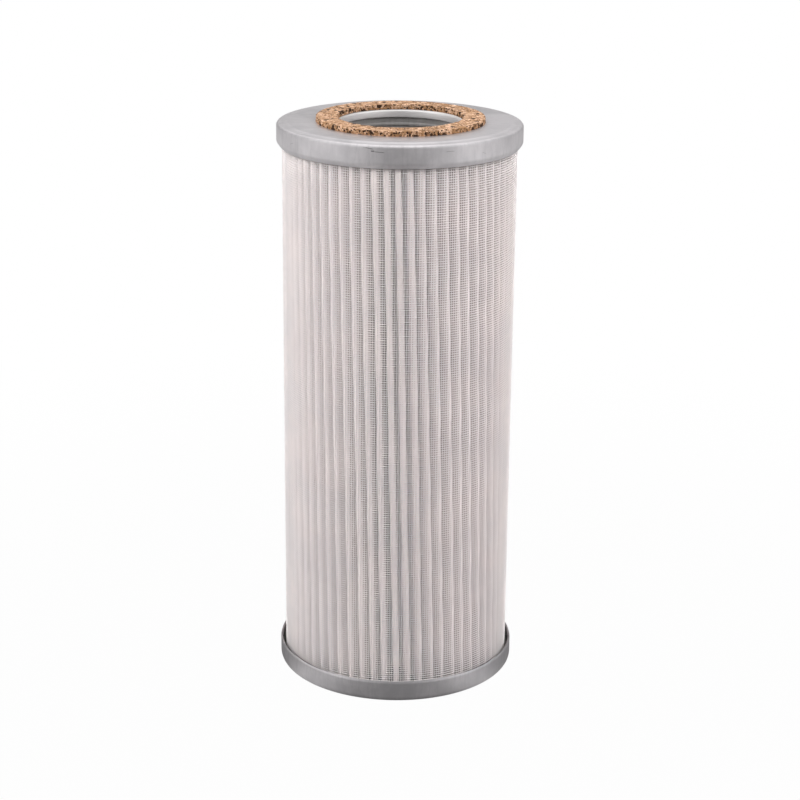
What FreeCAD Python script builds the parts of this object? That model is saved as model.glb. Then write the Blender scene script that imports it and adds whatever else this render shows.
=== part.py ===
"""Hydraulic filter element: a pleated cartridge between two stamped end caps.

Millimetres. The axis is Z, the origin is the centre of the lower cap's standing face, and the gasket
is at the top. Each piece is written to parts/NAME.step.
"""
import FreeCAD, Part
import math
import os

Vector = FreeCAD.Vector

# Driving dimensions: the element as a whole
CAP_OD = 99.0               # outside of both end caps
ELEMENT_LENGTH = 232.5      # standing face to the top cap's rim, without the gasket
SHEET = 0.6                 # sheet steel of both end caps

# End caps
SKIRT_DEPTH = 9.4           # height of each skirt, curl included
CURL_INSIDE_R = 2.2         # inside radius of the curl at the skirt's edge
TOP_BEND_INSIDE_R = 0.6     # inside radius where the top cap's rim turns into its skirt
BASE_BEND_INSIDE_R = 2.0    # the same on the bottom cap, which is softer
BASE_LIP_IN = 0.25          # how far the bottom cap's edge turns in
RIM_WIDTH = 4.0             # flat rim outside the top cap's step
STEP_WIDTH = 2.0            # run of a pressed step, on both caps
LAND_RISE = 0.35            # height of the top cap's land above its rim
PANEL_RISE = 0.8            # depth of the panel pressed into the bottom cap
FOOT_WIDTH = 9.0            # flat ring that the bottom cap stands on

# Neck, drawn down into the bore of the top cap
NECK_BORE_R = 24.6
NECK_BEND_INSIDE_R = 0.9
NECK_STRAIGHT = 2.0         # straight wall below the rounded lip

# Gasket
GASKET_INNER_R = 25.1
GASKET_WIDTH = 8.9
GASKET_THICKNESS = 2.1

# Centre tube
NECK_CLEARANCE = 0.4        # between the neck and the tube round it
TUBE_WALL = 0.8
BEAD_DEPTH = 0.35           # a bead is rolled inward near each end of the tube
BEAD_HEIGHT = 1.8
BEAD_INSET = 1.9            # from the neck's lower edge to the bead
HOLE_D = 9.0
HOLE_COLUMNS = 6
HOLE_ROW_PITCH = 30.0       # at least, so that the rows fill the length between the margins
HOLE_MARGIN = 16.0          # plain tube between the potting and the first row's centres

# Potting, the adhesive that bonds the ends
POTTING_INSET = 3.8         # from each skirt's edge to the face of the potting

# Pleated media
MEDIA = 0.9                 # thickness of the folded sheet
CREST_INSIDE_R = 0.5        # half the gap inside each outer fold
ROOT_INSIDE_R = 0.25        # half the gap inside each inner fold
ROOT_CLEARANCE = 0.6        # between neighbouring inner folds
MEDIA_TUBE_CLEARANCE = 0.2
MEDIA_SLEEVE_CLEARANCE = 0.05

# Mesh sleeve, a coarse net in place of the fine mesh
SLEEVE_WALL = 0.45
SKIRT_GAP = 1.55            # between the sleeve and the inside of the skirts
TOP_LIP_CLEARANCE = 0.15    # between the top cap's curled edge and the sleeve
STRAND = 1.6                # width of the net's strands
NET_COLUMNS = 16
NET_ROWS = 6
SEAM_WIDTH = 6.0            # the mesh is lapped on itself at the back
SEAM_ANGLE = 90.0

# Worked out from the sizes above
CAP_R = CAP_OD / 2
CURL_R = CURL_INSIDE_R + SHEET
RIM_Z = ELEMENT_LENGTH
LAND_Z = RIM_Z + LAND_RISE
STEP_OUTER_R = CAP_R - RIM_WIDTH
STEP_INNER_R = STEP_OUTER_R - STEP_WIDTH
NECK_BEND_R = NECK_BEND_INSIDE_R + SHEET
NECK_BEND_Z = LAND_Z - NECK_BEND_R
NECK_END_Z = NECK_BEND_Z - NECK_STRAIGHT
BASE_BEND_R = BASE_BEND_INSIDE_R + SHEET
PANEL_R = CAP_R - BASE_BEND_R - FOOT_WIDTH
TUBE_INNER_R = NECK_BORE_R + SHEET + NECK_CLEARANCE
TUBE_OUTER_R = TUBE_INNER_R + TUBE_WALL
TUBE_BASE_Z = SHEET + PANEL_RISE
TUBE_TOP_Z = NECK_BEND_Z
SLEEVE_OUTER_R = CAP_R - SHEET - SKIRT_GAP
SLEEVE_INNER_R = SLEEVE_OUTER_R - SLEEVE_WALL
PACK_BASE_Z = SKIRT_DEPTH - POTTING_INSET
PACK_TOP_Z = RIM_Z - SKIRT_DEPTH + POTTING_INSET


def at(radius, z):
    """A point of a profile, in the XZ plane."""
    return Vector(radius, 0, z)


def polar(radius, degrees):
    """A point at an angle round the axis, at z = 0."""
    angle = math.radians(degrees)
    return Vector(radius * math.cos(angle), radius * math.sin(angle), 0)


def wall_section(inner, outer, low, high):
    """The profile of a plain ring."""
    return [at(inner, low), at(outer, low), at(outer, high), at(inner, high)]


def bend(radius, z, bend_r, start, end):
    """Points at the start, middle and end of an arc round (radius, z), by angles from outward."""
    angles = [math.radians(a) for a in (start, (start + end) / 2, end)]
    return [at(radius + bend_r * math.cos(a), z + bend_r * math.sin(a)) for a in angles]


def wire_of(pieces):
    """A closed wire through pieces, each a single point or the three points of an arc."""
    edges = []
    ends = [piece if isinstance(piece, list) else [piece] for piece in pieces]
    for here, after in zip(ends, ends[1:] + ends[:1]):
        if len(here) == 3:
            edges.append(Part.Arc(*here).toShape())
        edges.append(Part.LineSegment(here[-1], after[0]).toShape())
    return Part.Wire(edges)


def turned(pieces, sweep=360, start=0):
    """The solid of revolution of a closed profile, through an angle if it isn't a whole turn."""
    solid = Part.Face(wire_of(pieces)).revolve(Vector(), Vector(0, 0, 1), sweep)
    solid.rotate(Vector(), Vector(0, 0, 1), start)
    return solid


def flipped(pieces):
    """A profile turned upside down, so that its cap face lies at z = 0."""
    return [[at(p.x, -p.z) for p in piece] if isinstance(piece, list) else at(piece.x, -piece.z)
            for piece in pieces]


def curled_skirt(inward, rim_z):
    """Angle of the curl, and height of its centre, for an edge that turns in by a given amount."""
    angle = math.acos(1 - inward / CURL_INSIDE_R)
    return math.degrees(angle), rim_z - SKIRT_DEPTH + CURL_R * math.sin(angle)


def top_end_cap():
    """Rim, step, land and drawn neck, with the skirt curled in until it nearly meets the sleeve."""
    curl, curl_z = curled_skirt(SKIRT_GAP - TOP_LIP_CLEARANCE, RIM_Z)
    bend_r = TOP_BEND_INSIDE_R + SHEET
    corner = (CAP_R - bend_r, RIM_Z - bend_r)
    neck = (NECK_BORE_R + NECK_BEND_R, NECK_BEND_Z)
    return turned([
        bend(CAP_R - CURL_R, curl_z, CURL_R, -curl, 0),
        bend(*corner, bend_r, 0, 90),
        at(STEP_OUTER_R, RIM_Z),
        at(STEP_INNER_R, LAND_Z),
        bend(*neck, NECK_BEND_R, 90, 180),
        at(NECK_BORE_R, NECK_END_Z),
        at(NECK_BORE_R + SHEET, NECK_END_Z),
        bend(*neck, NECK_BEND_INSIDE_R, 180, 90),
        at(STEP_INNER_R, LAND_Z - SHEET),
        at(STEP_OUTER_R, RIM_Z - SHEET),
        bend(*corner, TOP_BEND_INSIDE_R, 90, 0),
        bend(CAP_R - CURL_R, curl_z, CURL_INSIDE_R, 0, -curl),
    ])


def bottom_end_cap():
    """Closed cap: a flat ring to stand on, a shallow pressed panel and a skirt with a slight curl."""
    curl, curl_z = curled_skirt(BASE_LIP_IN, 0)
    corner = (CAP_R - BASE_BEND_R, -BASE_BEND_R)
    return turned(flipped([
        bend(CAP_R - CURL_R, curl_z, CURL_R, -curl, 0),
        bend(*corner, BASE_BEND_R, 0, 90),
        at(PANEL_R, 0),
        at(PANEL_R - STEP_WIDTH, -PANEL_RISE),
        at(0, -PANEL_RISE),
        at(0, -PANEL_RISE - SHEET),
        at(PANEL_R - STEP_WIDTH, -PANEL_RISE - SHEET),
        at(PANEL_R, -SHEET),
        bend(*corner, BASE_BEND_INSIDE_R, 90, 0),
        bend(CAP_R - CURL_R, curl_z, CURL_INSIDE_R, 0, -curl),
    ]))


def cork_gasket():
    """Flat ring on the land of the top cap."""
    return turned(wall_section(GASKET_INNER_R, GASKET_INNER_R + GASKET_WIDTH,
                               LAND_Z, LAND_Z + GASKET_THICKNESS))


def beaded_wall(radius, bead_zs):
    """One side of the tube's wall, from the bottom up, pushed inward at each bead."""
    points = [at(radius, TUBE_BASE_Z)]
    for z in bead_zs:
        points += [
            at(radius, z - BEAD_HEIGHT / 2),
            at(radius - BEAD_DEPTH, z - BEAD_HEIGHT / 6),
            at(radius - BEAD_DEPTH, z + BEAD_HEIGHT / 6),
            at(radius, z + BEAD_HEIGHT / 2),
        ]
    return points + [at(radius, TUBE_TOP_Z)]


def centre_tube():
    """Perforated tube with a rolled bead near each end. Alternate rows of holes are staggered."""
    inset = BEAD_INSET + BEAD_HEIGHT / 2
    beads = (PACK_BASE_Z + inset, NECK_END_Z - inset)
    tube = turned(beaded_wall(TUBE_INNER_R, beads) + beaded_wall(TUBE_OUTER_R, beads)[::-1])
    span = PACK_TOP_Z - PACK_BASE_Z - 2 * HOLE_MARGIN
    rows = int(span // HOLE_ROW_PITCH)
    drills = []
    for row in range(rows + 1):
        z = PACK_BASE_Z + HOLE_MARGIN + span * row / rows
        for column in range(HOLE_COLUMNS):
            angle = 360 / HOLE_COLUMNS * (column + row % 2 / 2)
            outward = polar(1, angle)
            start = outward * (TUBE_INNER_R / 2) + Vector(0, 0, z)
            drills.append(Part.makeCylinder(HOLE_D / 2, TUBE_OUTER_R, start, outward))
    return tube.cut(drills)


def fold_wire(crest_r, root_r, crest_bend, root_bend, count, rounded):
    """One face of the folded sheet, as a closed wire.

    crest_r and root_r are where the folds' centres lie, and crest_bend and root_bend are how far
    this face stands from them. A leg touches both of those circles. The face is rounded over each
    crest if asked, and otherwise flat, and it is flat at each root, where it is pressed to the tube.
    """
    half = 180 / count
    crest, root = polar(crest_r, 0), polar(root_r, half)
    along = root - crest
    distance = along.Length
    along.normalize()
    across = Vector(along.y, -along.x, 0)
    lean = math.acos((crest_bend + root_bend) / distance)
    normal = along * math.cos(lean) + across * math.sin(lean)
    leg_top, leg_foot = crest + normal * crest_bend, root - normal * root_bend

    def flat_corner(degrees, depth):
        """Where the leg meets the flat that crosses the radius at an angle, at a depth from the axis."""
        radial = polar(1, degrees)
        leg = leg_foot - leg_top
        return leg_top + leg * ((depth - leg_top.dot(radial)) / leg.dot(radial))

    crest_end = leg_top if rounded else flat_corner(0, crest_r + crest_bend)
    root_end = flat_corner(half, root_r - root_bend)

    def turn(point, degrees, side=1):
        """The point turned round the axis. A side of -1 mirrors it in the X axis first."""
        return polar(point.Length, degrees + side * math.degrees(math.atan2(point.y, point.x)))

    edges = []
    for fold in range(count):
        angle, following = 2 * half * fold, 2 * half * (fold + 1)
        before, here = turn(crest_end, angle, -1), turn(crest_end, angle)
        foot, next_foot = turn(root_end, angle), turn(root_end, following, -1)
        if rounded:
            edges.append(Part.Arc(before, polar(crest_r + crest_bend, angle), here).toShape())
        else:
            edges.append(Part.LineSegment(before, here).toShape())
        for a, b in ((here, foot), (foot, next_foot), (next_foot, turn(crest_end, following, -1))):
            edges.append(Part.LineSegment(a, b).toShape())
    return Part.Wire(edges)


def pleated_media():
    """One sheet folded round the tube. As many pleats as the inner folds leave room for."""
    crest_r = SLEEVE_INNER_R - MEDIA_SLEEVE_CLEARANCE - MEDIA - CREST_INSIDE_R
    root_r = TUBE_OUTER_R + MEDIA_TUBE_CLEARANCE + MEDIA + ROOT_INSIDE_R
    root_pitch = 2 * (MEDIA + ROOT_INSIDE_R) + ROOT_CLEARANCE
    count = int(2 * math.pi * root_r // root_pitch)
    outer = fold_wire(crest_r, root_r, CREST_INSIDE_R + MEDIA, ROOT_INSIDE_R, count, rounded=True)
    inner = fold_wire(crest_r, root_r, CREST_INSIDE_R, ROOT_INSIDE_R + MEDIA, count, rounded=False)
    sheet = Part.makeFace([outer, inner], "Part::FaceMakerBullseye")
    sheet.translate(Vector(0, 0, PACK_BASE_Z))
    return sheet.extrude(Vector(0, 0, PACK_TOP_Z - PACK_BASE_Z))


def mesh_sleeve():
    """Thin wall round the pleats, cut into a net between the two caps, with a seam at the back."""
    section = wall_section(SLEEVE_INNER_R, SLEEVE_OUTER_R, PACK_BASE_Z, PACK_TOP_Z)
    first_z = SKIRT_DEPTH + STRAND
    row_pitch = (ELEMENT_LENGTH - 2 * first_z + STRAND) / NET_ROWS
    column_pitch = 360 / NET_COLUMNS
    strand_angle = math.degrees(STRAND / SLEEVE_OUTER_R)
    openings = []
    for row in range(NET_ROWS):
        low = first_z + row * row_pitch
        cutter = wall_section(SLEEVE_INNER_R - SLEEVE_WALL, SLEEVE_OUTER_R + SLEEVE_WALL,
                              low, low + row_pitch - STRAND)
        for column in range(NET_COLUMNS):
            start = SEAM_ANGLE + strand_angle / 2 + column * column_pitch
            openings.append(turned(cutter, column_pitch - strand_angle, start))
    seam_angle = math.degrees(SEAM_WIDTH / SLEEVE_OUTER_R)
    seam = turned(section, seam_angle, SEAM_ANGLE - seam_angle / 2)
    return turned(section).cut(openings).fuse(seam).removeSplitter()


def top_potting():
    """Adhesive that fills the top cap, between the tube and the skirt, down to the pack's end."""
    bend_r = TOP_BEND_INSIDE_R + SHEET
    return turned([
        at(TUBE_OUTER_R, PACK_TOP_Z),
        at(CAP_R - SHEET, PACK_TOP_Z),
        bend(CAP_R - bend_r, RIM_Z - bend_r, TOP_BEND_INSIDE_R, 0, 90),
        at(STEP_OUTER_R, RIM_Z - SHEET),
        at(STEP_INNER_R, LAND_Z - SHEET),
        at(TUBE_OUTER_R, LAND_Z - SHEET),
    ])


def bottom_potting():
    """Adhesive that fills the bottom cap, between the tube and the skirt, up to the pack's end."""
    return turned([
        at(TUBE_OUTER_R, TUBE_BASE_Z),
        at(PANEL_R - STEP_WIDTH, TUBE_BASE_Z),
        at(PANEL_R, SHEET),
        bend(CAP_R - BASE_BEND_R, BASE_BEND_R, BASE_BEND_INSIDE_R, -90, 0),
        at(CAP_R - SHEET, PACK_BASE_Z),
        at(TUBE_OUTER_R, PACK_BASE_Z),
    ])


def main():
    """Build every piece and write it to its own file."""
    os.makedirs("parts", exist_ok=True)
    pieces = (top_end_cap, bottom_end_cap, cork_gasket, centre_tube, pleated_media, mesh_sleeve,
              top_potting, bottom_potting)
    for piece in pieces:
        shape = piece()
        solid = shape.Solids[0] if len(shape.Solids) == 1 else shape
        solid.exportStep(os.path.join("parts", piece.__name__ + ".step"))
        print(piece.__name__, "volume", round(solid.Volume, 1), "valid", solid.isValid())


main()
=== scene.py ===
"""Looks of a hydraulic filter element: stamped caps, cork gasket, pleated pack and mesh sleeve.

Everything is in metres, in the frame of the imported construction: the axis is Z, the element stands
on z = 0 and the neck is at the top. The front of the element faces -Y.
"""

import logging
import math
import random
from collections.abc import Callable
from dataclasses import dataclass, field
from enum import Enum

import bmesh
import bpy
from mathutils import Matrix, Vector, noise


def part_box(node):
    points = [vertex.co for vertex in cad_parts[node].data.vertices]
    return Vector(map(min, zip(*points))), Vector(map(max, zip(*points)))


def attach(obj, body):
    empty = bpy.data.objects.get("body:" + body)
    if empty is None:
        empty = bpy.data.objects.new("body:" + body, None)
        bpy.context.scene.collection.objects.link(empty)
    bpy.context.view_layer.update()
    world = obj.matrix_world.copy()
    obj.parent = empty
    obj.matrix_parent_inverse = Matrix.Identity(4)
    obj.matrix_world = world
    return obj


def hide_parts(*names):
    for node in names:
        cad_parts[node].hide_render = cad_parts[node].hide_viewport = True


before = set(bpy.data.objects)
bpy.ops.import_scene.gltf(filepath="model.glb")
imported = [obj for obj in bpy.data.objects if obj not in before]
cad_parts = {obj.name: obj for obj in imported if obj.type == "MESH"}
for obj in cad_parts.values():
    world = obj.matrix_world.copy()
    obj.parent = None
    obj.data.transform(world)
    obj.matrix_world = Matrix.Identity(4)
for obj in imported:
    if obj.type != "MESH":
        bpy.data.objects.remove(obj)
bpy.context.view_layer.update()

log = logging.getLogger("filter_element")

MM = 0.001
BODY = "root"
AXIS = Vector((0.0, 0.0, 1.0))
FULL_TURN = 2 * math.pi
MESH_PITCH = 0.95 * MM
GASKET_INNER_R = 25.1 * MM


def radius_of(node: str) -> float:
    """Outer radius of a round node.

    Args:
        node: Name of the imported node.

    Returns:
        Half the node's width along X, in metres.
    """
    low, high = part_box(node)
    return (high[0] - low[0]) / 2


def span_of(node: str) -> tuple[float, float]:
    """Lowest and highest z of a node.

    Args:
        node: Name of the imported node.

    Returns:
        The two heights, in metres.
    """
    low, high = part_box(node)
    return low[2], high[2]


class Slot(Enum):
    """Material slots of the record, one for each kind of new piece."""

    CAP = "cap_steel"
    CORK = "cork"
    MEDIA = "media"
    MESH = "mesh"


# Material helpers


class Nodes:
    """The node tree of a material or a world, with short calls that add nodes and join them."""

    def __init__(self, owner: bpy.types.Material | bpy.types.World, space: str = "Object") -> None:
        """Start an empty tree.

        Args:
            owner: The new material or world.
            space: Coordinates that its patterns read.
        """
        self.owner = owner
        owner.use_nodes = True
        self.tree = owner.node_tree
        self.tree.nodes.clear()
        self.coordinates = self.add("ShaderNodeTexCoord").outputs[space]

    @classmethod
    def material(cls, name: str) -> "Nodes":
        """Start the tree of a new material.

        Args:
            name: Name of the material.

        Returns:
            The tree.
        """
        return cls(bpy.data.materials.new(name))

    def add(self, kind: str, settings: dict | None = None, **inputs: object) -> bpy.types.Node:
        """Add a node.

        Args:
            kind: Blender's name of the node type.
            settings: Properties of the node itself.
            **inputs: Values or output sockets for inputs, by name with underscores for spaces.

        Returns:
            The new node.
        """
        node = self.tree.nodes.new(kind)
        for key, value in (settings or {}).items():
            setattr(node, key, value)
        for key, value in inputs.items():
            self.feed(node.inputs[key.replace("_", " ")], value)
        return node

    def feed(self, socket: bpy.types.NodeSocket, value: object) -> None:
        """Set an input to a value, or link it to an output.

        Args:
            socket: The input.
            value: A number, a tuple, or another node's output socket.
        """
        if isinstance(value, bpy.types.NodeSocket):
            self.tree.links.new(value, socket)
        elif isinstance(value, tuple) and len(value) == 3 and socket.type == "RGBA":
            socket.default_value = (*value, 1.0)
        else:
            socket.default_value = value

    def math(self, operation: str, *values: object) -> bpy.types.NodeSocket:
        """A math node of one to three values.

        Args:
            operation: Blender's name of the operation.
            *values: Numbers or sockets.

        Returns:
            The result's socket.
        """
        node = self.add("ShaderNodeMath", {"operation": operation})
        for socket, value in zip(node.inputs, values):
            self.feed(socket, value)
        return node.outputs[0]

    def mix(self, share: object, first: object, second: object) -> bpy.types.NodeSocket:
        """A mix of two colours.

        Args:
            share: How much of the second colour shows.
            first: Colour or socket.
            second: Colour or socket.

        Returns:
            The mixed colour's socket.
        """
        node = self.add("ShaderNodeMix", {"data_type": "RGBA"})
        self.feed(node.inputs["Factor"], share)
        colours = [socket for socket in node.inputs if socket.type == "RGBA"]
        self.feed(colours[0], first)
        self.feed(colours[1], second)
        return next(socket for socket in node.outputs if socket.type == "RGBA")

    def between(self, value: object, low: float, high: float,
                to_low: object = 0.0, to_high: object = 1.0) -> bpy.types.NodeSocket:
        """A value mapped from one range to another, and held at its ends.

        Args:
            value: The number or socket to map.
            low: Where the result is to_low.
            high: Where the result is to_high.
            to_low: Result at low, a number or a socket.
            to_high: Result at high, a number or a socket.

        Returns:
            The mapped value's socket.
        """
        node = self.add("ShaderNodeMapRange", {"interpolation_type": "SMOOTHSTEP"},
                        Value=value, From_Min=low, From_Max=high, To_Min=to_low, To_Max=to_high)
        return node.outputs[0]

    def speckle(self, scale: float, detail: float = 2.0, roughness: float = 0.5,
                vector: object = None) -> bpy.types.NodeSocket:
        """Noise on the object's coordinates.

        Args:
            scale: Features per metre.
            detail: Octaves.
            roughness: Weight of the finer octaves.
            vector: Other coordinates to use.

        Returns:
            The noise value's socket, about 0.5.
        """
        node = self.add("ShaderNodeTexNoise", Scale=scale, Detail=detail, Roughness=roughness,
                        Vector=self.coordinates if vector is None else vector)
        return node.outputs[0]

    def cylindrical(self) -> tuple[bpy.types.NodeSocket, bpy.types.NodeSocket,
                                   bpy.types.NodeSocket]:
        """Angle round the axis, distance from it and height.

        Returns:
            Sockets of the angle in radians, the radius and the height in metres.
        """
        parts = self.add("ShaderNodeSeparateXYZ", Vector=self.coordinates).outputs
        angle = self.math("ARCTAN2", parts["Y"], parts["X"])
        squares = self.math("ADD", self.math("POWER", parts["X"], 2.0),
                            self.math("POWER", parts["Y"], 2.0))
        return angle, self.math("SQRT", squares), parts["Z"]

    def rays(self) -> tuple[bpy.types.NodeSocket, bpy.types.NodeSocket]:
        """Tell the camera's own rays and those that a mirror or glass sends on from the rest.

        Returns:
            Two sockets, each 1 for its rays and 0 for others.
        """
        path = self.add("ShaderNodeLightPath").outputs
        mirrored = self.math("MAXIMUM", path["Is Glossy Ray"], path["Is Transmission Ray"])
        return path["Is Camera Ray"], mirrored

    def finish(self, bump: object = None, bump_height: float = 0.0, strength: float = 1.0,
               **inputs: object) -> bpy.types.Material:
        """Close the tree with the surface's shader.

        Args:
            bump: Height socket, from 0 to 1.
            bump_height: Height in metres that 1 stands for.
            strength: Strength of the bump.
            **inputs: Inputs of the shader, by name with underscores for spaces.

        Returns:
            The material.
        """
        shader = self.add("ShaderNodeBsdfPrincipled", **inputs)
        if bump is not None:
            normal = self.add("ShaderNodeBump", Height=bump, Distance=bump_height,
                              Strength=strength)
            self.feed(shader.inputs["Normal"], normal.outputs[0])
        return self.close("ShaderNodeOutputMaterial", shader)

    def close(self, output: str, shader: bpy.types.Node) -> bpy.types.Material | bpy.types.World:
        """Join a shader to the tree's output.

        Args:
            output: Blender's name of the output node.
            shader: The last shader.

        Returns:
            The material or world.
        """
        self.feed(self.add(output).inputs["Surface"], shader.outputs[0])
        return self.owner


# Finishes


@dataclass(frozen=True)
class Scratch:
    """A short dark scratch on a cap's skirt, placed by azimuth and height.

    The azimuth is in degrees from the front, positive towards +X. The tilt is its rise in metres
    for a metre along the skirt.
    """

    azimuth: float
    height: float
    length: float = 3.0 * MM
    width: float = 0.3 * MM
    tilt: float = 0.0
    depth: float = 0.8

    def mask(self, tree: Nodes, along: bpy.types.NodeSocket,
             up: bpy.types.NodeSocket, radius: float) -> bpy.types.NodeSocket:
        """Where the scratch shows.

        Args:
            tree: The tree to add to.
            along: Angle round the axis, from the front.
            up: Height.
            radius: Radius of the skirt.

        Returns:
            The socket of a value from 0 to the scratch's depth.
        """
        aside = tree.math("MULTIPLY", tree.math("SUBTRACT", along, math.radians(self.azimuth)),
                          radius)
        rise = tree.math("SUBTRACT", tree.math("SUBTRACT", up, self.height),
                         tree.math("MULTIPLY", aside, self.tilt))
        long = tree.between(tree.math("ABSOLUTE", aside), 0.3 * self.length, 0.5 * self.length,
                            self.depth, 0.0)
        thin = tree.between(tree.math("ABSOLUTE", rise), 0.2 * self.width, 0.6 * self.width,
                            1.0, 0.0)
        return tree.math("MULTIPLY", long, thin)


@dataclass(frozen=True)
class RolledSteel:
    """Plain rolled sheet steel, satin, with fine lines, smudges and a few scratches.

    The lines run down the walls, where the sheet was drawn, and straight across the flats. Inside
    neck_radius the colour is lightened towards a pale tone, a painted highlight on the neck's lip.
    """

    name: str
    tone: tuple[float, float, float]
    dull: tuple[float, float, float]
    roughness: float = 0.38
    bare: float = 0.85
    grain: float = 2500.0
    smudge: float = 70.0
    haze: float = 24.0
    drawn: float = 28.0
    drawn_stretch: float = 4.0
    rolled: tuple[float, float, float] = (60.0, 900.0, 60.0)
    rolled_turn: float = math.radians(35)
    ripple: float = 110.0
    relief: float = 0.08 * MM
    scratches: tuple[Scratch, ...] = ()
    scratch_tone: tuple[float, float, float] = (0.1, 0.09, 0.095)
    skirt_radius: float = field(default_factory=lambda: radius_of("top_end_cap"))
    neck_radius: float = 0.0
    neck_above: float = 100.0 * MM
    neck_fade: float = 0.5 * MM
    # Pale tone of the painted highlight on the neck's lip.
    painted_lip_highlight: tuple[float, float, float] = (0.95, 0.93, 0.935)

    def streaks(self, tree: Nodes) -> bpy.types.NodeSocket:
        """Fine lines: down the walls outside, and straight across the flats.

        Args:
            tree: The tree to add to.

        Returns:
            The socket of their value, about 0.5.
        """
        angle, radius, height = tree.cylindrical()
        drawn_place = tree.add("ShaderNodeCombineXYZ", X=angle, Y=0.0,
                               Z=tree.math("MULTIPLY", height, self.drawn_stretch)).outputs[0]
        drawn = tree.speckle(self.drawn, detail=6.0, roughness=0.65, vector=drawn_place)
        rolled_place = tree.add("ShaderNodeMapping", Vector=tree.coordinates, Scale=self.rolled,
                                Rotation=(0.0, 0.0, self.rolled_turn)).outputs[0]
        rolled = tree.speckle(1.0, detail=4.0, roughness=0.6, vector=rolled_place)
        wall = tree.between(radius, self.skirt_radius - 1.2 * MM, self.skirt_radius - 0.6 * MM)
        return tree.between(wall, 0.0, 1.0, rolled, drawn)

    def neck(self, tree: Nodes) -> bpy.types.NodeSocket:
        """Where the painted highlight on the neck's lip goes.

        Args:
            tree: The tree to add to.

        Returns:
            The socket of a value from 0 to 1.
        """
        _, radius, height = tree.cylindrical()
        inside = tree.between(radius, self.neck_radius, self.neck_radius + self.neck_fade,
                              1.0, 0.0)
        return tree.math("MULTIPLY", inside, tree.math("GREATER_THAN", height, self.neck_above))

    def scratched(self, tree: Nodes, colour: bpy.types.NodeSocket) -> bpy.types.NodeSocket:
        """Draw the scratches over a colour.

        Args:
            tree: The tree to add to.
            colour: The colour's socket.

        Returns:
            The socket of the colour with its scratches.
        """
        parts = tree.add("ShaderNodeSeparateXYZ", Vector=tree.coordinates).outputs
        azimuth = tree.math("ARCTAN2", parts["X"], tree.math("MULTIPLY", parts["Y"], -1.0))
        for scratch in self.scratches:
            mask = scratch.mask(tree, azimuth, parts["Z"], self.skirt_radius)
            colour = tree.mix(mask, colour, self.scratch_tone)
        return colour

    def make(self) -> bpy.types.Material:
        """Build the material.

        Returns:
            The material.
        """
        tree = Nodes.material(self.name)
        streaks = self.streaks(tree)
        smudges = tree.speckle(self.smudge, detail=5.0, roughness=0.6)
        haze = tree.speckle(self.haze, detail=3.0, roughness=0.55)
        colour = tree.mix(tree.between(smudges, 0.35, 0.7), self.tone, self.dull)
        colour = tree.mix(tree.between(haze, 0.45, 0.65, 0.0, 0.4), colour, self.dull)
        colour = tree.mix(tree.between(streaks, 0.42, 0.7, 0.0, 0.6), colour, self.dull)
        # Painted highlight: high up inside neck_radius, the neck's lip is lightened towards a pale
        # tone.
        colour = tree.mix(self.neck(tree), colour, self.painted_lip_highlight)
        colour = self.scratched(tree, colour)
        rough = tree.math("ADD", tree.between(haze, 0.35, 0.65, -0.06, 0.06),
                          tree.between(streaks, 0.3, 0.7, self.roughness - 0.04,
                                       self.roughness + 0.05))
        grain = tree.math("MULTIPLY", tree.speckle(self.grain), 0.12)
        relief = tree.math("ADD", grain, tree.speckle(self.ripple, detail=3.0))
        return tree.finish(bump=relief, bump_height=self.relief, strength=0.6, Base_Color=colour,
                           Metallic=self.bare, Roughness=rough)


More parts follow.
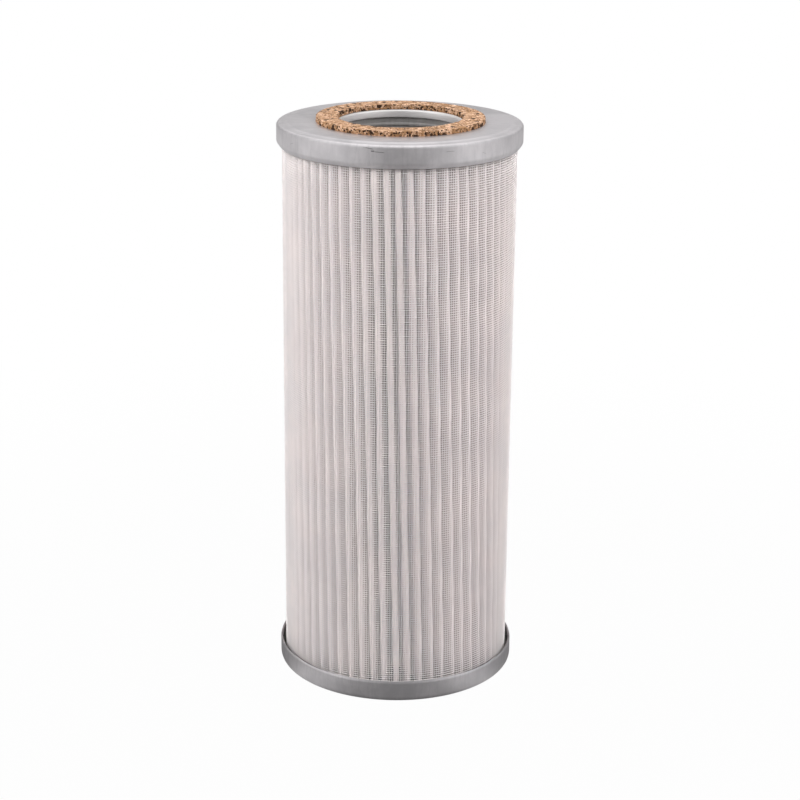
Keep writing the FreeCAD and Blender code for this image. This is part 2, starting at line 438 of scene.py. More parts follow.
@dataclass(frozen=True)
class GranulatedCork:
    """Pressed cork granules with dark specks of bark.

    The cut edges, and the cut sides low down, carry painted shade in a browner colour.
    """

    name: str = "granulated_cork"
    pale: tuple[float, float, float] = (0.64, 0.42, 0.29)
    tan: tuple[float, float, float] = (0.3, 0.165, 0.08)
    brown: tuple[float, float, float] = (0.15, 0.07, 0.032)
    bark: tuple[float, float, float] = (0.03, 0.014, 0.007)
    granule: float = 620.0
    fineness: float = 2.6
    # foot, foot_fade and foot_shade place the painted shade low on the sides; edge_shade is painted
    # shade at the cut edges.
    foot: float = 1.35 * MM
    foot_fade: float = 1.3 * MM
    foot_shade: float = 0.4
    edge_shade: float = 0.08
    speck_share: float = 0.035
    edge_specks: float = 0.1
    chip_share: float = 0.065
    edge_chips: float = 0.16

    def granules(self, tree: Nodes, size: float) -> dict[str, bpy.types.NodeSocket]:
        """Cells of irregular shape, each with its own random values.

        Args:
            tree: The tree to add to.
            size: Cells per metre.

        Returns:
            The sockets of three random values to a cell.
        """
        warp = tree.add("ShaderNodeTexNoise", Vector=tree.coordinates, Scale=1.3 * size,
                        Detail=2.0)
        bent = tree.add("ShaderNodeVectorMath", {"operation": "MULTIPLY_ADD"})
        tree.feed(bent.inputs[0], warp.outputs["Color"])
        tree.feed(bent.inputs[1], (0.9 / size,) * 3)
        tree.feed(bent.inputs[2], tree.coordinates)
        cells = tree.add("ShaderNodeTexVoronoi", Vector=bent.outputs[0], Scale=size)
        return tree.add("ShaderNodeSeparateColor", Color=cells.outputs["Color"]).outputs

    def picked(self, tree: Nodes, draw: bpy.types.NodeSocket, edge: bpy.types.NodeSocket,
               share: float, more: float) -> bpy.types.NodeSocket:
        """A share of the cells, drawn at random, with more of them at the cut edges.

        Args:
            tree: The tree to add to.
            draw: Random value of each cell.
            edge: 1 at the cut edges and 0 away from them.
            share: Share of the cells.
            more: Share added at the cut edges.

        Returns:
            The socket of 1 in the picked cells and 0 elsewhere.
        """
        limit = tree.math("SUBTRACT", 1.0 - share, tree.math("MULTIPLY", edge, more))
        return tree.math("GREATER_THAN", draw, limit)

    def make(self) -> bpy.types.Material:
        """Build the material.

        Returns:
            The material.
        """
        tree = Nodes.material(self.name)
        coarse = self.granules(tree, self.granule)
        fine = self.granules(tree, self.fineness * self.granule)
        _, radius, height = tree.cylindrical()
        half_width = (radius_of("cork_gasket") - GASKET_INNER_R) / 2
        aside = tree.math("ABSOLUTE", tree.math("SUBTRACT", radius, GASKET_INNER_R + half_width))
        edge = tree.between(aside, half_width - 0.9 * MM, half_width - 0.1 * MM)
        colour = tree.mix(tree.between(coarse["Red"], 0.1, 0.9), self.pale, self.tan)
        colour = tree.mix(tree.between(fine["Red"], 0.4, 0.9, 0.0, 0.85), colour, self.tan)
        colour = tree.mix(tree.between(fine["Green"], 0.72, 0.85, 0.0, 0.85), colour, self.brown)
        # Painted shade: the cut edges are darkened a little towards brown.
        colour = tree.mix(tree.math("MULTIPLY", edge, self.edge_shade), colour, self.brown)
        # Painted shade low on the cut sides, where the ring sits on the cap.
        shade_top = span_of("cork_gasket")[0] + self.foot
        shade = tree.between(height, shade_top - self.foot_fade, shade_top, self.foot_shade, 0.0)
        colour = tree.mix(shade, colour, self.brown)
        speck = self.picked(tree, coarse["Blue"], edge, self.speck_share, self.edge_specks)
        chip = self.picked(tree, fine["Blue"], edge, self.chip_share, self.edge_chips)
        colour = tree.mix(tree.math("MAXIMUM", speck, chip), colour, self.bark)
        relief = tree.math("ADD", fine["Red"], tree.speckle(3000.0, detail=3.0))
        return tree.finish(bump=relief, bump_height=0.15 * MM, Base_Color=colour, Roughness=0.85,
                           Specular_IOR_Level=0.25)


@dataclass(frozen=True)
class FoldedMedia:
    """Matte non-woven media, with a faint cloudy tint and fibres."""

    name: str = "folded_media"
    pale: tuple[float, float, float] = (0.87, 0.795, 0.78)
    tint: tuple[float, float, float] = (0.81, 0.73, 0.72)

    def make(self) -> bpy.types.Material:
        """Build the material.

        Returns:
            The material.
        """
        tree = Nodes.material(self.name)
        clouds = tree.speckle(60.0, detail=4.0)
        fibres = tree.speckle(1800.0, detail=4.0, roughness=0.7)
        colour = tree.mix(tree.between(clouds, 0.35, 0.65), self.pale, self.tint)
        colour = tree.mix(tree.between(fibres, 0.5, 0.75, 0.0, 0.3), colour, self.tint)
        return tree.finish(bump=fibres, bump_height=0.08 * MM, Base_Color=colour, Roughness=0.8,
                           Specular_IOR_Level=0.15)


@dataclass(frozen=True)
class MeshWire:
    """Pale coated wire of the woven sleeve."""

    name: str = "mesh_wire"
    pale: tuple[float, float, float] = (0.82, 0.765, 0.755)
    grey: tuple[float, float, float] = (0.75, 0.715, 0.715)

    def make(self) -> bpy.types.Material:
        """Build the material.

        Returns:
            The material.
        """
        tree = Nodes.material(self.name)
        patches = tree.speckle(45.0, detail=5.0, roughness=0.6)
        colour = tree.mix(tree.between(patches, 0.35, 0.65), self.pale, self.grey)
        rough = tree.between(patches, 0.3, 0.7, 0.5, 0.65)
        return tree.finish(Base_Color=colour, Roughness=rough, Specular_IOR_Level=0.05)


@dataclass(frozen=True)
class SealedLap:
    """The mesh's lap, sealed flat with heat, with the weave pressed into it."""

    name: str = "sealed_lap"
    pale: tuple[float, float, float] = (0.74, 0.69, 0.68)
    grey: tuple[float, float, float] = (0.6, 0.56, 0.555)
    pitch: float = MESH_PITCH
    radius: float = 47.3 * MM

    def make(self) -> bpy.types.Material:
        """Build the material.

        Returns:
            The material.
        """
        tree = Nodes.material(self.name)
        angle, _, height = tree.cylindrical()
        along = tree.math("MULTIPLY", angle, FULL_TURN * self.radius / self.pitch)
        up = tree.math("MULTIPLY", height, FULL_TURN / self.pitch)
        weave = tree.math("MAXIMUM", tree.math("SINE", along), tree.math("SINE", up))
        pressed = tree.between(weave, -0.6, 0.9)
        patches = tree.speckle(160.0, detail=4.0)
        # Painted shade in the hollows of the pressed weave, varied by random patches of tone.
        shade = tree.math("MULTIPLY", pressed, tree.between(patches, 0.3, 0.7, 0.5, 1.0))
        colour = tree.mix(shade, self.grey, self.pale)
        return tree.finish(bump=pressed, bump_height=0.12 * MM, Base_Color=colour,
                           Roughness=0.5, Specular_IOR_Level=0.4)


@dataclass(frozen=True)
class CastAdhesive:
    """Dull adhesive that fills the caps."""

    name: str = "cast_adhesive"
    tone: tuple[float, float, float] = (0.16, 0.16, 0.15)
    dark: tuple[float, float, float] = (0.08, 0.08, 0.08)

    def make(self) -> bpy.types.Material:
        """Build the material.

        Returns:
            The material.
        """
        tree = Nodes.material(self.name)
        clouds = tree.speckle(300.0, detail=3.0)
        colour = tree.mix(tree.between(clouds, 0.35, 0.65), self.tone, self.dark)
        return tree.finish(bump=clouds, bump_height=0.2 * MM, Base_Color=colour, Roughness=0.55)


SCRATCHES = (
    Scratch(azimuth=-13.4, height=231.1 * MM, length=3.4 * MM, tilt=-0.15, depth=0.7),
    Scratch(azimuth=-11.9, height=230.1 * MM, length=1.6 * MM, width=0.5 * MM, depth=0.85),
    Scratch(azimuth=-8.9, height=229.8 * MM, length=4.6 * MM, tilt=-0.06, depth=0.7),
    Scratch(azimuth=-15.4, height=231.3 * MM, length=2.0 * MM, width=0.25 * MM, depth=0.4),
    Scratch(azimuth=23.0, height=229.7 * MM, length=4.0 * MM, width=0.35 * MM, depth=0.35),
    Scratch(azimuth=-58.0, height=228.3 * MM, length=3.0 * MM, width=0.25 * MM, tilt=0.3,
            depth=0.3),
    Scratch(azimuth=41.0, height=227.6 * MM, length=2.2 * MM, width=0.25 * MM, tilt=-0.4,
            depth=0.3),
    Scratch(azimuth=118.0, height=229.5 * MM, length=5.0 * MM, width=0.25 * MM, tilt=0.1,
            depth=0.5),
    Scratch(azimuth=-151.0, height=5.1 * MM, length=4.0 * MM, width=0.25 * MM, tilt=-0.2,
            depth=0.5),
)
CAP_STEEL = RolledSteel("cap_steel", tone=(0.715, 0.685, 0.7), dull=(0.55, 0.53, 0.545),
                        scratches=SCRATCHES, neck_radius=25.2 * MM)
TUBE_STEEL = RolledSteel("tube_steel", tone=(0.28, 0.27, 0.265), dull=(0.2, 0.19, 0.185),
                         roughness=0.6, bare=0.4, skirt_radius=25.6 * MM)


# Mesh helpers


@dataclass(frozen=True)
class Corner:
    """A corner of a section, at a radius and height, rounded to a bend of that radius."""

    r: float
    z: float
    bend: float = 0.0


def section(mesh: bmesh.types.BMesh, corners: list[Corner], closed: bool = True,
            segments: int = 8) -> None:
    """Draw a section in the XZ plane and round its corners.

    Args:
        mesh: The empty mesh to draw in.
        corners: The section's corners in order.
        closed: Whether the last corner joins the first.
        segments: Faces to a rounded corner.
    """
    points = [mesh.verts.new((corner.r, 0.0, corner.z)) for corner in corners]
    pairs = list(zip(points, points[1:]))
    if closed:
        pairs.append((points[-1], points[0]))
    for pair in pairs:
        mesh.edges.new(pair)
    for point, corner in zip(points, corners):
        if corner.bend:
            first, second = (edge.other_vert(point).co - point.co for edge in point.link_edges)
            setback = corner.bend / math.tan(first.angle(second) / 2)
            bmesh.ops.bevel(mesh, geom=[point], offset=setback, offset_type="OFFSET",
                            segments=segments, profile=0.5, affect="VERTICES", material=-1)


def spin_round(mesh: bmesh.types.BMesh, steps: int) -> None:
    """Spin everything in the mesh a full turn about the axis.

    Args:
        mesh: The mesh that holds the section.
        steps: Faces round the turn.
    """
    bmesh.ops.spin(mesh, geom=mesh.verts[:] + mesh.edges[:], cent=(0, 0, 0), axis=AXIS,
                   dvec=(0, 0, 0), angle=FULL_TURN, steps=steps, use_merge=True,
                   use_normal_flip=False, use_duplicate=False)
    bmesh.ops.remove_doubles(mesh, verts=mesh.verts[:], dist=0.0005 * MM)
    bmesh.ops.recalc_face_normals(mesh, faces=mesh.faces[:])


def draw_up(mesh: bmesh.types.BMesh, height: float, rows: int) -> None:
    """Extrude every edge of the mesh straight up.

    Args:
        mesh: The mesh that holds an outline.
        height: How far up.
        rows: Rows of faces.
    """
    edges = mesh.edges[:]
    for _ in range(rows):
        grown = bmesh.ops.extrude_edge_only(mesh, edges=edges)["geom"]
        edges = [part for part in grown if isinstance(part, bmesh.types.BMEdge)]
        fresh = [part for part in grown if isinstance(part, bmesh.types.BMVert)]
        bmesh.ops.translate(mesh, verts=fresh, vec=(0.0, 0.0, height / rows))


def repeat(mesh: bmesh.types.BMesh, count: int, step: Callable[[int], Matrix]) -> None:
    """Repeat everything in the mesh, doubling what there is each time.

    Args:
        mesh: The mesh that holds one shape.
        count: Number of shapes in the end.
        step: Gives the matrix that moves a shape on by a number of places.
    """
    whole = len(mesh.verts)
    made = 1
    while made < count:
        taken = min(made, count - made)
        verts = set(mesh.verts[:taken * whole])
        parts = [part for part in mesh.edges[:] + mesh.faces[:] if part.verts[0] in verts]
        copy = bmesh.ops.duplicate(mesh, geom=list(verts) + parts)["geom"]
        moved = [part for part in copy if isinstance(part, bmesh.types.BMVert)]
        bmesh.ops.transform(mesh, matrix=step(made), verts=moved)
        made += taken


def piece_of(mesh: bmesh.types.BMesh, name: str, material: bpy.types.Material,
             crease: float = 35.0) -> bpy.types.Object:
    """Turn a finished mesh into a shown, smooth-shaded piece.

    Args:
        mesh: The mesh, which is freed.
        name: Name of the piece.
        material: Its material.
        crease: Angle in degrees past which an edge stays sharp.

    Returns:
        The piece, linked to the scene.
    """
    for face in mesh.faces:
        face.smooth = True
    limit = math.radians(crease)
    for edge in mesh.edges:
        edge.smooth = not (len(edge.link_faces) == 2 and edge.calc_face_angle(0.0) > limit)
    data = bpy.data.meshes.new(name)
    mesh.to_mesh(data)
    mesh.free()
    data.materials.append(material)
    piece = bpy.data.objects.new(name, data)
    bpy.context.scene.collection.objects.link(piece)
    return piece


def settle(piece: bpy.types.Object, slot: Slot, *nodes: str) -> None:
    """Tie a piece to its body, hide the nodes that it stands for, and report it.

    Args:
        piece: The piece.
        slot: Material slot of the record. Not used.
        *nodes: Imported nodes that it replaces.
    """
    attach(piece, BODY)
    if nodes:
        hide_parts(*nodes)
    log.info("%s stands for %s, %d faces", piece.name, ", ".join(nodes) or "itself",
             len(piece.data.polygons))


# Pieces


@dataclass
class EndCaps:
    """The two stamped end caps. Both are one sheet, pressed, with the skirt's edge curled in."""

    sheet: float = 0.6 * MM
    skirt_depth: float = 9.4 * MM
    curl_depth: float = 2.0 * MM
    lip_depth: float = 0.95 * MM
    lip_taper: float = 0.45 * MM
    curl_bend: float = 1.8 * MM
    top_bend: float = 1.25 * MM
    base_bend: float = 2.6 * MM
    top_lip_in: float = 1.4 * MM
    base_lip_in: float = 0.25 * MM
    rim_width: float = 3.1 * MM
    rim_crown: float = 0.14 * MM
    crown_width: float = 2.4 * MM
    crown_bend: float = 8.0 * MM
    step_width: float = 1.6 * MM
    step_bend: float = 2.0 * MM
    land_rise: float = 0.35 * MM
    neck_radius: float = 24.6 * MM
    neck_bend: float = 0.95 * MM
    neck_straight: float = 2.35 * MM
    neck_flare: float = 0.22 * MM
    neck_edge_bend: float = 0.3 * MM
    foot_width: float = 9.0 * MM
    panel_rise: float = 0.8 * MM
    steps: int = 288
    radius: float = field(default_factory=lambda: radius_of("top_end_cap"))
    land: float = field(default_factory=lambda: span_of("top_end_cap")[1])

    def skirt(self, rim: float, down: float, lip_in: float,
              depth: float) -> tuple[list[Corner], list[Corner]]:
        """The skirt's section, from its edge to its bend.

        Args:
            rim: Height of the cap's flat.
            down: -1 if the skirt hangs down from it, or 1 if it stands up.
            lip_in: How far the curled edge turns in.
            depth: Height of the part that turns in.

        Returns:
            Corners of the outer face from the edge, and of the inner face to the edge.
        """
        edge = rim + down * self.skirt_depth
        turn = edge - down * depth
        slope = math.atan2(lip_in, depth)
        outer = [Corner(self.radius - lip_in - self.sheet * (1 - math.cos(slope)), edge),
                 Corner(self.radius, turn, self.curl_bend)]
        inner = [Corner(self.radius - self.sheet, turn, self.curl_bend - self.sheet),
                 Corner(self.radius - lip_in - self.sheet, edge - down * self.lip_taper)]
        return outer, inner

    def build_top(self, material: bpy.types.Material) -> bpy.types.Object:
        """Make the top cap: rim, step, land and the neck drawn down into the bore.

        Args:
            material: Its finish.

        Returns:
            The piece.
        """
        rim = self.land - self.land_rise
        step_outer = self.radius - self.rim_width
        step_inner = step_outer - self.step_width
        neck_end = self.land - self.neck_bend - self.neck_straight
        outer, inner = self.skirt(rim, -1, self.top_lip_in, self.curl_depth)
        mesh = bmesh.new()
        section(mesh, [
            *outer,
            Corner(self.radius, rim - self.rim_crown, self.top_bend),
            Corner(self.radius - self.crown_width, rim, self.crown_bend),
            Corner(step_outer, rim, self.step_bend),
            Corner(step_inner, self.land, self.step_bend),
            Corner(self.neck_radius + self.neck_flare, self.land, self.neck_bend),
            Corner(self.neck_radius, neck_end, self.neck_edge_bend),
            Corner(self.neck_radius + self.sheet, neck_end),
            Corner(self.neck_radius + self.neck_flare + self.sheet, self.land - self.sheet,
                   self.neck_bend - self.sheet),
            Corner(step_inner, self.land - self.sheet),
            Corner(step_outer, rim - self.sheet),
            Corner(self.radius - self.sheet, rim - self.sheet, self.top_bend - self.sheet),
            *inner,
        ])
        spin_round(mesh, self.steps)
        return piece_of(mesh, "stamped_top_cap", material)

    def build_base(self, material: bpy.types.Material) -> bpy.types.Object:
        """Make the closed bottom cap: a flat ring to stand on and a shallow pressed panel.

        Args:
            material: Its finish.

        Returns:
            The piece.
        """
        panel = self.radius - self.base_bend - self.foot_width
        outer, inner = self.skirt(0.0, 1, self.base_lip_in, self.lip_depth)
        inside = self.panel_rise + self.sheet
        mesh = bmesh.new()
        section(mesh, [
            Corner(0.0, self.panel_rise),
            Corner(panel - self.step_width, self.panel_rise, self.step_bend),
            Corner(panel, 0.0, self.step_bend),
            Corner(self.radius, 0.0, self.base_bend),
            *reversed(outer),
            *reversed(inner),
            Corner(self.radius - self.sheet, self.sheet, self.base_bend - self.sheet),
            Corner(panel, self.sheet),
            Corner(panel - self.step_width, inside),
            Corner(0.0, inside),
        ], closed=False)
        spin_round(mesh, self.steps)
        return piece_of(mesh, "stamped_base_cap", material)


@dataclass
class CorkGasket:
    """Flat cork ring on the land, with a granular face and crumbly edges."""

    inner_radius: float = GASKET_INNER_R
    granule: float = 1.2 * MM
    face_relief: float = 0.12 * MM
    edge_relief: float = 0.38 * MM
    edge_bend: float = 0.25 * MM
    edge_share: float = 0.12
    foot_height: float = 0.3 * MM
    own_spread: float = 0.6
    own_scatter: float = 7.3
    own_depth: float = 0.6
    groove_width: float = 0.22
    groove_depth: float = 0.5
    aside: float = 0.25 * MM
    steps: int = 640
    rows: int = 22

    def build(self, material: bpy.types.Material) -> bpy.types.Object:
        """Make the ring.

        Args:
            material: Its finish.

        Returns:
            The piece.
        """
        outer_radius = radius_of("cork_gasket")
        low, high = span_of("cork_gasket")
        mesh = bmesh.new()
        section(mesh, [
            Corner(self.inner_radius, low),
            Corner(outer_radius, low),
            Corner(outer_radius, high, self.edge_bend),
            Corner(self.inner_radius, high, self.edge_bend),
        ], segments=2)
        long_edges = [edge for edge in mesh.edges if edge.calc_length() > 4 * self.granule]
        short_edges = [edge for edge in mesh.edges
                       if edge not in long_edges and edge.calc_length() > self.granule]
        bmesh.ops.subdivide_edges(mesh, edges=long_edges, cuts=self.rows)
        bmesh.ops.subdivide_edges(mesh, edges=short_edges, cuts=self.rows // 3)
        spin_round(mesh, self.steps)
        middle = (self.inner_radius + outer_radius) / 2
        half = (outer_radius - self.inner_radius) / 2
        for vert in mesh.verts:
            reach = abs(vert.co.xy.length - middle) / half
            cut = min(1.0, max(0.0, (reach - 1.0 + self.edge_share) / self.edge_share))
            rise = min(1.0, (vert.co.z - low) / self.foot_height)
            relief = self.face_relief + (self.edge_relief - self.face_relief) * cut
            vert.co -= vert.normal * relief * rise * self.depth_at(vert.co)
        bmesh.ops.translate(mesh, verts=mesh.verts[:], vec=(self.aside, 0.0, 0.0))
        return piece_of(mesh, "cork_ring", material, crease=80.0)

    def depth_at(self, place: Vector) -> float:
        """How deep the surface lies at a point: each granule has its own height and a groove.

        Args:
            place: The point.

        Returns:
            The depth, from 0 to about 1.
        """
        distances, centres = noise.voronoi(place / self.granule)
        own = 0.5 + self.own_spread * noise.noise(centres[0] * self.own_scatter)
        groove = max(0.0, 1.0 - (distances[1] - distances[0]) / self.groove_width)
        return min(1.0, max(0.0, self.own_depth * own + self.groove_depth * groove))


@dataclass
class PleatedPack:
    """One sheet folded into rounded pleats that lean and wander a little down the pack."""

    pleats: int = 60
    thickness: float = 0.9 * MM
    crest_bend: float = 1.25 * MM
    root_bend: float = 1.3 * MM
    crest_setback: float = 0.12 * MM
    crest_rounding: float = 0.98
    root_rounding: float = 0.9
    rows: int = 24
    phase: float = math.radians(0.8)
    lean: float = math.radians(7.3)
    lean_swing: float = math.radians(2.6)
    wander: float = math.radians(0.33)
    wander_length: float = 110 * MM
    own_share: float = 0.5
    drift_share: float = 1.3
    drift_step: float = 3.7
    dent: float = 0.004
    dent_length: float = 30 * MM
    dent_step: float = 5.1
    dent_seed: float = 4.0
    seed: int = 7

    def build(self, material: bpy.types.Material, crest_radius: float,
              root_radius: float) -> bpy.types.Object:
        """Fold the pack.

        Args:
            material: Its finish.
            crest_radius: Radius that no crest passes.
            root_radius: Radius inside which no fold reaches.

        Returns:
            The piece.
        """
        low, high = span_of("pleated_media")
        mesh = bmesh.new()
        self.fold(mesh, crest_radius - self.crest_setback, root_radius + self.thickness)
        bmesh.ops.translate(mesh, verts=mesh.verts[:], vec=(0.0, 0.0, low))
        draw_up(mesh, high - low, self.rows)
        bmesh.ops.recalc_face_normals(mesh, faces=mesh.faces[:])
        outermost = max(mesh.faces, key=lambda face: face.calc_center_median().xy.length)
        if outermost.normal.xy.dot(outermost.calc_center_median().xy) < 0:
            bmesh.ops.reverse_faces(mesh, faces=mesh.faces[:])
        self.disturb(mesh, low, high, root_radius, crest_radius)
        piece = piece_of(mesh, "pleated_pack", material, crease=60.0)
        wall = piece.modifiers.new("sheet", "SOLIDIFY")
        wall.thickness = self.thickness
        wall.offset = -1.0
        wall.use_even_offset = True
        return piece

    def fold(self, mesh: bmesh.types.BMesh, crest: float, root: float) -> None:
        """Draw the outline of one pleat, round its folds and repeat it round the axis.

        Args:
            mesh: The empty mesh.
            crest: Radius of the outer face at a crest.
            root: Radius of the outer face at a root.
        """
        half = math.pi / self.pleats
        root_gap = self.root_bend - self.thickness
        corners = ((root, -half, 0.0), (root, -half, root_gap), (crest, 0.0, -self.crest_bend),
                   (crest, 0.0, self.crest_bend), (root, half, -root_gap), (root, half, 0.0))
        points = []
        for radius, angle, aside in corners:
            place = Vector((radius, aside, 0.0))
            points.append(mesh.verts.new(Matrix.Rotation(angle, 3, "Z") @ place))
        for pair in zip(points, points[1:]):
            mesh.edges.new(pair)
        at_crest = self.crest_rounding * self.crest_bend
        at_root = self.root_rounding * root_gap
        for point, setback in zip(points[1:], (at_root, at_crest, at_crest, at_root)):
            bmesh.ops.bevel(mesh, geom=[point], offset=setback, offset_type="OFFSET",
                            segments=5, profile=0.5, affect="VERTICES", material=-1)
        legs = [edge for edge in mesh.edges if edge.calc_length() > 5 * self.crest_bend]
        bmesh.ops.subdivide_edges(mesh, edges=legs, cuts=2)
        repeat(mesh, self.pleats, lambda places: Matrix.Rotation(2 * half * places, 4, "Z"))
        bmesh.ops.remove_doubles(mesh, verts=mesh.verts[:], dist=0.001 * MM)

    def disturb(self, mesh: bmesh.types.BMesh, low: float, high: float, root: float,
                crest: float) -> None:
        """Lean the pleats, let each one wander and dent its crest a little.

        Args:
            mesh: The pack's mesh.
            low: Height of its lower end.
            high: Height of its upper end.
            root: Radius inside which no fold reaches.
            crest: Radius that no crest passes.
        """
        pitch = FULL_TURN / self.pleats
        draw = random.Random(self.seed)
        shifts = [draw.uniform(-1.0, 1.0) for _ in range(self.pleats)]
        for vert in mesh.verts:
            radius = vert.co.xy.length
            angle = math.atan2(vert.co.y, vert.co.x)
            number = round(angle / pitch) % self.pleats
            up = (vert.co.z - low) / (high - low)
            outward = (radius - root) / (crest - root)
            drift = noise.noise((number * self.drift_step, vert.co.z / self.wander_length,
                                 self.seed))
            own = self.own_share * shifts[number] + self.drift_share * drift
            lean = self.lean + self.lean_swing * math.sin(angle + math.pi / 2)
            turn = self.phase + own * self.wander * outward - lean * up
            vert.co = Matrix.Rotation(turn, 3, "Z") @ vert.co
            hollow = noise.noise((number * self.dent_step, vert.co.z / self.dent_length,
                                  self.dent_seed))
            vert.co.xy *= 1.0 - max(0.0, hollow) * self.dent * outward


@dataclass
class MeshSleeve:
    """Square woven mesh, wrapped tight round the crests and lapped at the back."""

    pitch: float = MESH_PITCH
    wire: float = 0.28 * MM
    upright: float = 0.27 * MM
    ring_steps: int = 120
    upright_rows: int = 16
    sag: float = 0.05 * MM
    sag_waves: float = 2.0
    sag_step: float = 0.35
    seam_width: float = 6.0 * MM
    seam_depth: float = 0.2 * MM
    seat_depth: float = 0.448 * MM

    def seat(self) -> float:
        """Radius within which the crests of the pleats lie."""
        return radius_of("mesh_sleeve") - self.seat_depth

    def build_rounds(self, material: bpy.types.Material) -> bpy.types.Object:
        """Make the wires that run round the element.

        Args:
            material: Their finish.

        Returns:
            The piece.
        """
        low, high = span_of("mesh_sleeve")
        radius = radius_of("mesh_sleeve") - self.wire / 2
        count = int((high - low - self.wire) / self.pitch) + 1
        mesh = bmesh.new()
        bmesh.ops.create_circle(mesh, cap_ends=False, segments=3, radius=self.wire / 2)
        bmesh.ops.rotate(mesh, verts=mesh.verts[:], cent=(0, 0, 0),
                         matrix=Matrix.Rotation(math.pi / 2, 3, "X"))
        bmesh.ops.translate(mesh, verts=mesh.verts[:], vec=(radius, 0.0, low + self.wire / 2))
        spin_round(mesh, self.ring_steps)
        repeat(mesh, count, lambda places: Matrix.Translation(AXIS * places * self.pitch))
        for vert in mesh.verts:
            row = round((vert.co.z - low) / self.pitch)
            around = vert.co.xy.normalized() * self.sag_waves
            vert.co.z += self.sag * noise.noise((*around, row * self.sag_step))
        return piece_of(mesh, "mesh_rounds", material, crease=180.0)

    def build_uprights(self, material: bpy.types.Material) -> bpy.types.Object:
        """Make the wires that run along the element.

        Args:
            material: Their finish.

        Returns:
            The piece.
        """
        low, high = span_of("mesh_sleeve")
        radius = radius_of("mesh_sleeve") - self.wire - self.upright / 2
        count = round(FULL_TURN * radius / self.pitch)
        mesh = bmesh.new()
        bmesh.ops.create_circle(mesh, cap_ends=False, segments=3, radius=self.upright / 2)
        bmesh.ops.translate(mesh, verts=mesh.verts[:], vec=(radius, 0.0, low))
        draw_up(mesh, high - low, self.upright_rows)
        bmesh.ops.holes_fill(mesh, edges=[edge for edge in mesh.edges if edge.is_boundary])
        bmesh.ops.recalc_face_normals(mesh, faces=mesh.faces[:])
        repeat(mesh, count, lambda places: Matrix.Rotation(FULL_TURN * places / count, 4, "Z"))
        return piece_of(mesh, "mesh_uprights", material, crease=180.0)

    def build_seam(self, material: bpy.types.Material) -> bpy.types.Object:
        """Make the strip at the back where the mesh laps and is sealed flat.

        Args:
            material: Its finish.

        Returns:
            The piece.
        """
        low, high = span_of("mesh_sleeve")
        outer = radius_of("mesh_sleeve")
        arc = self.seam_width / outer
        mesh = bmesh.new()
        section(mesh, [
            Corner(outer, low),
            Corner(outer, high),
            Corner(outer - self.seam_depth, high),
            Corner(outer - self.seam_depth, low),
        ])
        bmesh.ops.rotate(mesh, verts=mesh.verts[:], cent=(0, 0, 0),
                         matrix=Matrix.Rotation((math.pi - arc) / 2, 3, "Z"))
        bmesh.ops.spin(mesh, geom=mesh.verts[:] + mesh.edges[:], cent=(0, 0, 0), axis=AXIS,
                       dvec=(0, 0, 0), angle=arc, steps=8, use_merge=False,
                       use_normal_flip=False, use_duplicate=False)
        bmesh.ops.holes_fill(mesh, edges=[edge for edge in mesh.edges if edge.is_boundary])
        bmesh.ops.recalc_face_normals(mesh, faces=mesh.faces[:])
        return piece_of(mesh, "mesh_seam", material)


@dataclass(frozen=True)
class Lamp:
    """A soft lamp. It lights matte surfaces alone or, if mirrored, shows in mirror rays alone."""

    name: str
    place: tuple[float, float, float]
    size: tuple[float, float]
    power: float
    mirrored: bool = False

    def hang(self, target: Vector) -> None:
        """Hang the lamp at its place.

        Args:
            target: The point that it faces.
        """
        data = bpy.data.lights.new(self.name, "AREA")
        data.shape = "RECTANGLE"
        data.size, data.size_y = self.size
        data.energy = self.power
        lamp = bpy.data.objects.new(self.name, data)
        bpy.context.scene.collection.objects.link(lamp)
        lamp.location = self.place
        lamp.visible_camera = False
        lamp.visible_glossy = self.mirrored
        lamp.visible_diffuse = not self.mirrored
        towards = target - lamp.location
        lamp.rotation_euler = towards.to_track_quat("-Z", "Y").to_euler()


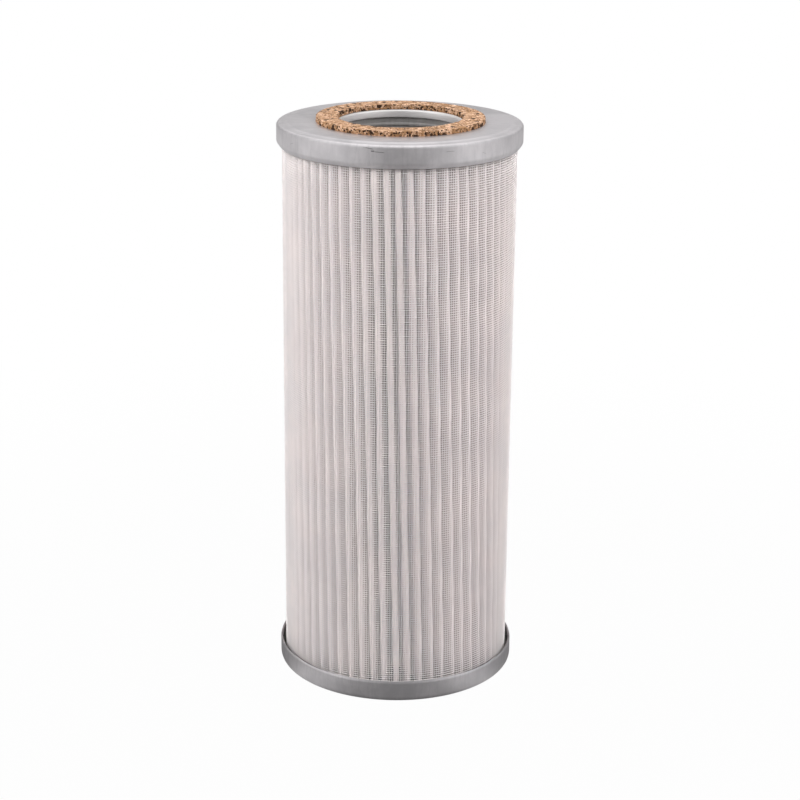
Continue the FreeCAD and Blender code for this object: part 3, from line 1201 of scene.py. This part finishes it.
@dataclass
class Studio:
    """Pale floor, plain soft light and the photograph's camera."""

    lens: float = 92.15
    place: Vector = field(default_factory=lambda: Vector((0.001032, -0.8125, 0.3844)))
    pitch: float = math.radians(18.337)
    roll: float = math.radians(0.533)
    floor_half: float = 6.0
    floor_colour: tuple[float, float, float] = (0.05, 0.05, 0.05)
    floor_white: float = 0.985
    mirror_share: float = 0.85
    front_level: float = 0.34
    side_level: float = 1.04
    back_level: float = 0.7
    sky_level: float = 0.5
    near_front: float = 0.62
    near_side: float = 0.9
    near_back: float = 0.18
    ambient: float = 0.28
    front_fade: tuple[float, float] = (-0.99, -0.5)
    back_fade: tuple[float, float] = (-0.3, 0.5)
    near_front_fade: tuple[float, float] = (-0.99, -0.75)
    near_back_fade: tuple[float, float] = (-0.88, -0.15)
    near_reach: tuple[float, float] = (0.06, 0.2)
    white_reach: tuple[float, float] = (0.12, 0.5)
    target: Vector = field(default_factory=lambda: Vector((0.0, 0.0, 0.12)))
    lamps: tuple[Lamp, ...] = (
        Lamp("overhead", place=(0.0, 0.55, 1.42), size=(2.0, 1.9), power=8.3, mirrored=True),
        Lamp("left", place=(-0.7, -0.3, 0.65), size=(1.1, 1.1), power=16.7),
        Lamp("right", place=(0.7, -0.3, 0.65), size=(1.1, 1.1), power=16.3),
        Lamp("behind", place=(0.0, 1.2, 0.75), size=(1.6, 1.6), power=11.0),
    )

    def build_camera(self) -> None:
        """Stand the camera where the photograph was taken from."""
        data = bpy.data.cameras.new("photograph")
        data.lens = self.lens
        data.sensor_width = 36.0
        data.dof.use_dof = False
        camera = bpy.data.objects.new("photograph", data)
        bpy.context.scene.collection.objects.link(camera)
        camera.matrix_world = (Matrix.Translation(self.place)
                               @ Matrix.Rotation(math.pi / 2 - self.pitch, 4, "X")
                               @ Matrix.Rotation(self.roll, 4, "Z"))
        bpy.context.scene.camera = camera

    def surroundings(self, tree: Nodes, behind: bpy.types.NodeSocket,
                     back: float) -> bpy.types.NodeSocket:
        """Level that mirror rays see, dim at the front and brightest at the sides.

        Args:
            tree: The tree to add to.
            behind: -1 at the front, 0 at the sides and 1 at the back.
            back: Level at the back.

        Returns:
            The level's socket.
        """
        rise = tree.between(behind, *self.front_fade, self.front_level, self.side_level)
        fall = tree.between(behind, *self.back_fade, 0.0, self.side_level - back)
        return tree.math("SUBTRACT", rise, fall)

    def build_floor(self) -> None:
        """Lay the pale floor.

        Camera rays see it white, with the element's shadow kept near it. Mirror rays see it
        darker towards the front and close to the element.
        """
        mesh = bmesh.new()
        bmesh.ops.create_grid(mesh, x_segments=1, y_segments=1, size=self.floor_half)
        tree = Nodes.material("floor_paper")
        camera, mirrored = tree.rays()
        angle, reach, _ = tree.cylindrical()
        white = tree.between(reach, *self.white_reach, self.floor_white, 1.0)
        behind = tree.math("SINE", angle)
        rise = tree.between(behind, *self.near_front_fade, self.near_front, self.near_side)
        fall = tree.between(behind, *self.near_back_fade, 0.0, self.near_side - self.near_back)
        near = tree.math("SUBTRACT", rise, fall)
        dim = tree.math("MULTIPLY", self.surroundings(tree, behind, self.back_level),
                        tree.between(reach, *self.near_reach, near, 1.0))
        paper = tree.add("ShaderNodeBsdfDiffuse", Color=self.floor_colour)
        level = tree.math("ADD", camera, tree.math("MULTIPLY", mirrored, dim))
        glow = tree.add("ShaderNodeEmission", Color=(1.0, 1.0, 1.0), Strength=level)
        share = tree.math("ADD", tree.math("MULTIPLY", camera, white),
                          tree.math("MULTIPLY", mirrored, self.mirror_share))
        blend = tree.add("ShaderNodeMixShader")
        tree.feed(blend.inputs[0], share)
        tree.feed(blend.inputs[1], paper.outputs[0])
        tree.feed(blend.inputs[2], glow.outputs[0])
        floor = piece_of(mesh, "floor", tree.close("ShaderNodeOutputMaterial", blend))

    def build_world(self) -> None:
        """Surround the scene with soft light, white to the camera and dimmer at the front."""
        world = bpy.data.worlds.new("studio")
        bpy.context.scene.world = world
        tree = Nodes(world, "Generated")
        camera, mirrored = tree.rays()
        behind = tree.add("ShaderNodeSeparateXYZ", Vector=tree.coordinates).outputs["Y"]
        level = self.surroundings(tree, behind, self.sky_level)
        seen = tree.math("MULTIPLY", camera, 1.0 - self.ambient)
        shown = tree.math("MULTIPLY", mirrored, tree.math("SUBTRACT", level, self.ambient))
        strength = tree.math("ADD", tree.math("ADD", self.ambient, seen), shown)
        back = tree.add("ShaderNodeBackground", Strength=strength)
        tree.close("ShaderNodeOutputWorld", back)

    def build(self) -> None:
        """Make the camera, the floor, the world and the lamps."""
        self.build_camera()
        self.build_floor()
        self.build_world()
        for lamp in self.lamps:
            lamp.hang(self.target)
        bpy.context.scene.view_settings.view_transform = "Standard"


def dress_kept_nodes(steel: bpy.types.Material, adhesive: bpy.types.Material) -> None:
    """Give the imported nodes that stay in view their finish.

    Args:
        steel: Finish of the tube.
        adhesive: Finish of the potting.
    """
    for node, material in (("centre_tube", steel), ("top_potting", adhesive),
                           ("bottom_potting", adhesive)):
        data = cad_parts[node].data
        data.materials.clear()
        data.materials.append(material)
        log.info("%s keeps its packed shape", node)


def main() -> None:
    """Build the pieces in order, from the caps inward, and light them."""
    logging.basicConfig(level=logging.INFO, format="%(asctime)s %(message)s")
    Studio().build()

    cap_steel = CAP_STEEL.make()
    caps = EndCaps()
    settle(caps.build_top(cap_steel), Slot.CAP, "top_end_cap")
    settle(caps.build_base(cap_steel), Slot.CAP, "bottom_end_cap")
    settle(CorkGasket().build(GranulatedCork().make()), Slot.CORK, "cork_gasket")

    sleeve = MeshSleeve()
    wire = MeshWire().make()
    settle(sleeve.build_rounds(wire), Slot.MESH, "mesh_sleeve")
    settle(sleeve.build_uprights(wire), Slot.MESH, "mesh_sleeve")
    settle(sleeve.build_seam(SealedLap().make()), Slot.MESH, "mesh_sleeve")
    pack = PleatedPack().build(FoldedMedia().make(), sleeve.seat(), radius_of("centre_tube"))
    settle(pack, Slot.MEDIA, "pleated_media")

    dress_kept_nodes(TUBE_STEEL.make(), CastAdhesive().make())


if __name__ == "__main__":
    main()
